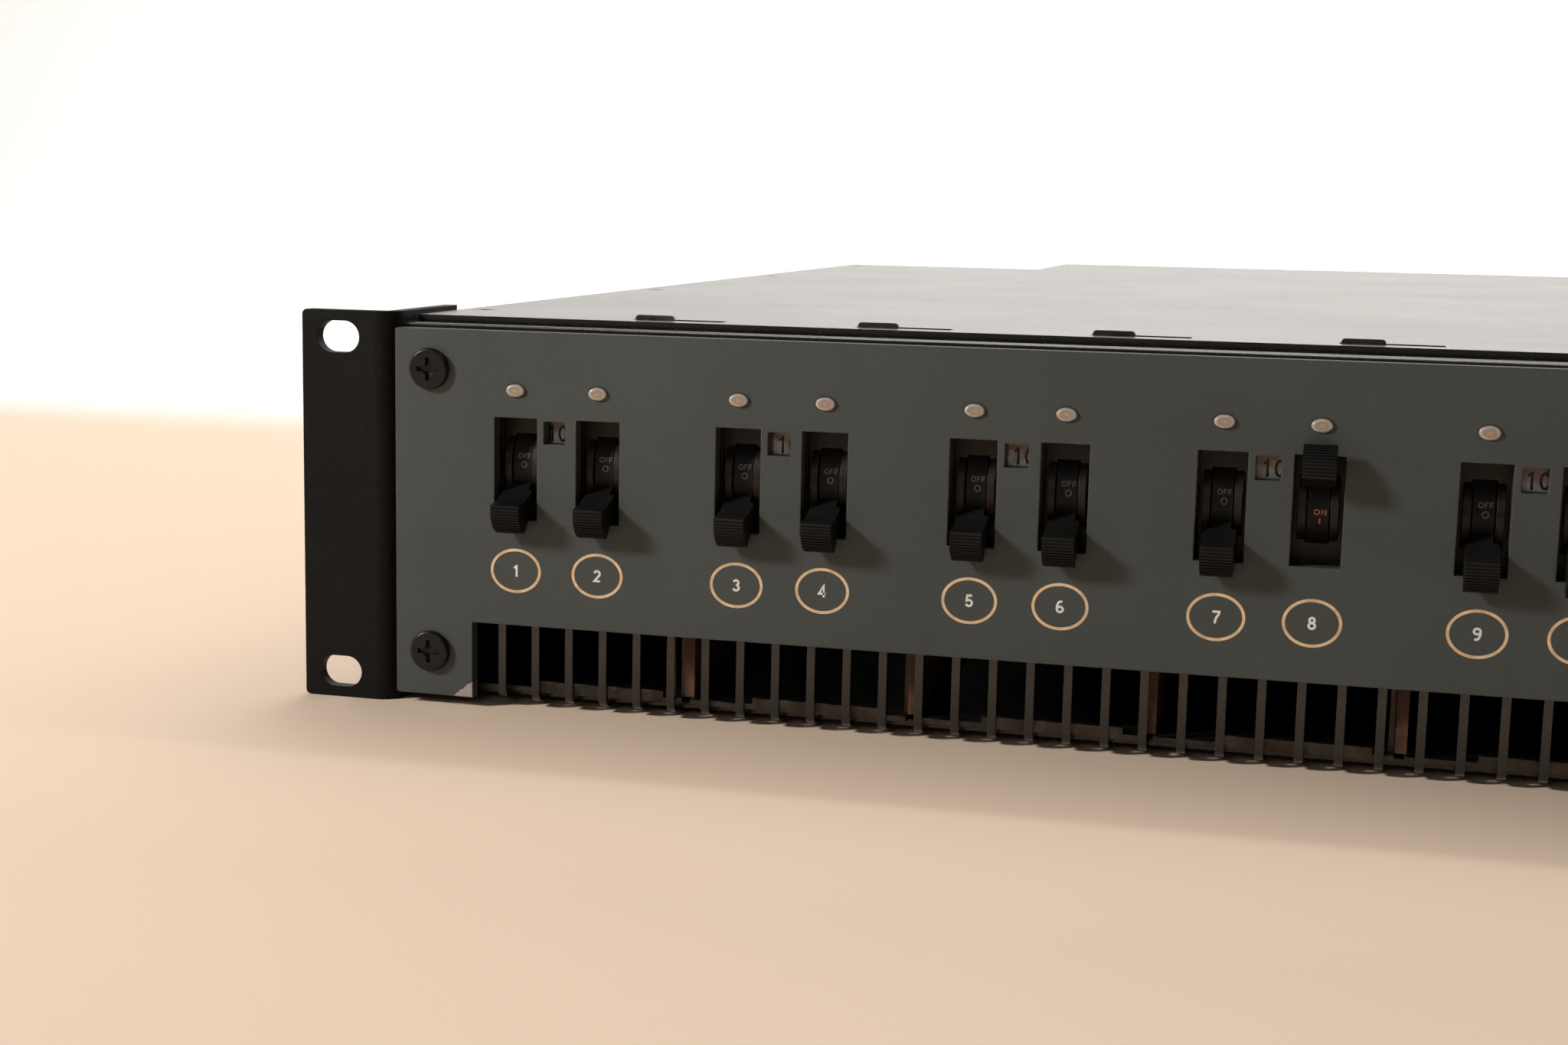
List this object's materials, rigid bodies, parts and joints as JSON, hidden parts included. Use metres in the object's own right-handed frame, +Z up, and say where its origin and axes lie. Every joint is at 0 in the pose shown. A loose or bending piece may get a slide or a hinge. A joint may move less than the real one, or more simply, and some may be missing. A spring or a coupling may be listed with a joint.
{
  "type": "rack power strip",
  "caption": "Two-unit rack-mount mains distribution unit with toggle breaker handles, indicator lenses, a ventilation grille and rear outlets.",
  "frame": {"origin": "centre of the four rack slots, on the front faces of the ears and front panel", "axes": "+X to the right seen from the front, +Y back into the rack, +Z up"},
  "size_m": [0.4826, 0.5358, 0.0882],
  "materials": {
    "chassis_paint": "satin black paint",
    "cover_paint": "semi-gloss black paint",
    "panel_paint": "satin dark grey paint",
    "ear_paint": "fine-textured black powder coat",
    "black_screw": "black zinc",
    "zinc_steel": "zinc plated",
    "tray_metal": "bare plated sheet",
    "case_plastic": "moulded black",
    "handle_plastic": "moulded matt black",
    "lens": "clear lens",
    "board": "brown laminate and pressboard",
    "label": "silvery label",
    "brass": "plain",
    "copper": "copper bar",
    "insulator": "moulded grey",
    "outlet_plastic": "moulded black",
    "gland_nylon": "black nylon",
    "seal_rubber": "soft black rubber"
  },
  "bodies": {
    "housing": {"bar_supports": "insulator", "breaker_cases_1": "case_plastic", "breaker_cases_2": "case_plastic", "breaker_cases_3": "case_plastic", "breaker_cases_4": "case_plastic", "breaker_cases_5": "case_plastic", "breaker_cases_6": "case_plastic", "breaker_cases_7": "case_plastic", "breaker_cases_8": "case_plastic", "chassis": "chassis_paint", "cover_screws": "black_screw", "ear_screws": "black_screw", "earth_bar": "brass", "front_panel": "panel_paint", "gland_body": "gland_nylon", "gland_cap": "gland_nylon", "gland_lock_nut": "gland_nylon", "gland_seal": "seal_rubber", "handle_pins": "zinc_steel", "inlet_recess": "chassis_paint", "input_terminal_block": "insulator", "led_board": "board", "led_lenses": "lens", "line_busbar": "copper", "load_terminals": "brass", "module_liners": "board", "module_tray_1": "tray_metal", "module_tray_2": "tray_metal", "module_tray_3": "tray_metal", "module_tray_4": "tray_metal", "module_tray_5": "tray_metal", "module_tray_6": "tray_metal", "module_tray_7": "tray_metal", "module_tray_8": "tray_metal", "neutral_bar": "brass", "outlets": "outlet_plastic", "panel_nuts": "zinc_steel", "panel_screws": "black_screw", "rack_ear_left": "ear_paint", "rack_ear_right": "ear_paint", "rating_labels": "label", "rear_panel": "cover_paint", "rear_screws": "black_screw", "top_cover": "cover_paint"},
    "handle_1": {"handle_1": "handle_plastic"},
    "handle_2": {"handle_2": "handle_plastic"},
    "handle_3": {"handle_3": "handle_plastic"},
    "handle_4": {"handle_4": "handle_plastic"},
    "handle_5": {"handle_5": "handle_plastic"},
    "handle_6": {"handle_6": "handle_plastic"},
    "handle_7": {"handle_7": "handle_plastic"},
    "handle_8": {"handle_8": "handle_plastic"},
    "handle_9": {"handle_9": "handle_plastic"},
    "handle_10": {"handle_10": "handle_plastic"},
    "handle_11": {"handle_11": "handle_plastic"},
    "handle_12": {"handle_12": "handle_plastic"},
    "handle_13": {"handle_13": "handle_plastic"},
    "handle_14": {"handle_14": "handle_plastic"},
    "handle_15": {"handle_15": "handle_plastic"},
    "handle_16": {"handle_16": "handle_plastic"}
  },
  "joints": [
    {"name": "handle_1_throw", "type": "hinge", "parent": "housing", "child": "handle_1", "pos_m": [-0.1901, 0.0147, 0.0104], "axis": [-1, 0, 0], "range_deg": [0, 56.8]},
    {"name": "handle_2_throw", "type": "hinge", "parent": "housing", "child": "handle_2", "pos_m": [-0.17105, 0.0147, 0.0104], "axis": [-1, 0, 0], "range_deg": [0, 56.8]},
    {"name": "handle_3_throw", "type": "hinge", "parent": "housing", "child": "handle_3", "pos_m": [-0.1393, 0.0147, 0.0104], "axis": [-1, 0, 0], "range_deg": [0, 56.8]},
    {"name": "handle_4_throw", "type": "hinge", "parent": "housing", "child": "handle_4", "pos_m": [-0.12025, 0.0147, 0.0104], "axis": [-1, 0, 0], "range_deg": [0, 56.8]},
    {"name": "handle_5_throw", "type": "hinge", "parent": "housing", "child": "handle_5", "pos_m": [-0.0885, 0.0147, 0.0104], "axis": [-1, 0, 0], "range_deg": [0, 56.8]},
    {"name": "handle_6_throw", "type": "hinge", "parent": "housing", "child": "handle_6", "pos_m": [-0.06945, 0.0147, 0.0104], "axis": [-1, 0, 0], "range_deg": [0, 56.8]},
    {"name": "handle_7_throw", "type": "hinge", "parent": "housing", "child": "handle_7", "pos_m": [-0.0377, 0.0147, 0.0104], "axis": [-1, 0, 0], "range_deg": [0, 56.8]},
    {"name": "handle_8_throw", "type": "hinge", "parent": "housing", "child": "handle_8", "pos_m": [-0.01865, 0.0147, 0.0104], "axis": [-1, 0, 0], "range_deg": [-56.8, 0]},
    {"name": "handle_9_throw", "type": "hinge", "parent": "housing", "child": "handle_9", "pos_m": [0.0131, 0.0147, 0.0104], "axis": [-1, 0, 0], "range_deg": [0, 56.8]},
    {"name": "handle_10_throw", "type": "hinge", "parent": "housing", "child": "handle_10", "pos_m": [0.03215, 0.0147, 0.0104], "axis": [-1, 0, 0], "range_deg": [0, 56.8]},
    {"name": "handle_11_throw", "type": "hinge", "parent": "housing", "child": "handle_11", "pos_m": [0.0639, 0.0147, 0.0104], "axis": [-1, 0, 0], "range_deg": [0, 56.8]},
    {"name": "handle_12_throw", "type": "hinge", "parent": "housing", "child": "handle_12", "pos_m": [0.08295, 0.0147, 0.0104], "axis": [-1, 0, 0], "range_deg": [0, 56.8]},
    {"name": "handle_13_throw", "type": "hinge", "parent": "housing", "child": "handle_13", "pos_m": [0.1147, 0.0147, 0.0104], "axis": [-1, 0, 0], "range_deg": [0, 56.8]},
    {"name": "handle_14_throw", "type": "hinge", "parent": "housing", "child": "handle_14", "pos_m": [0.13375, 0.0147, 0.0104], "axis": [-1, 0, 0], "range_deg": [0, 56.8]},
    {"name": "handle_15_throw", "type": "hinge", "parent": "housing", "child": "handle_15", "pos_m": [0.1655, 0.0147, 0.0104], "axis": [-1, 0, 0], "range_deg": [0, 56.8]},
    {"name": "handle_16_throw", "type": "hinge", "parent": "housing", "child": "handle_16", "pos_m": [0.18455, 0.0147, 0.0104], "axis": [-1, 0, 0], "range_deg": [0, 56.8]}
  ]
}
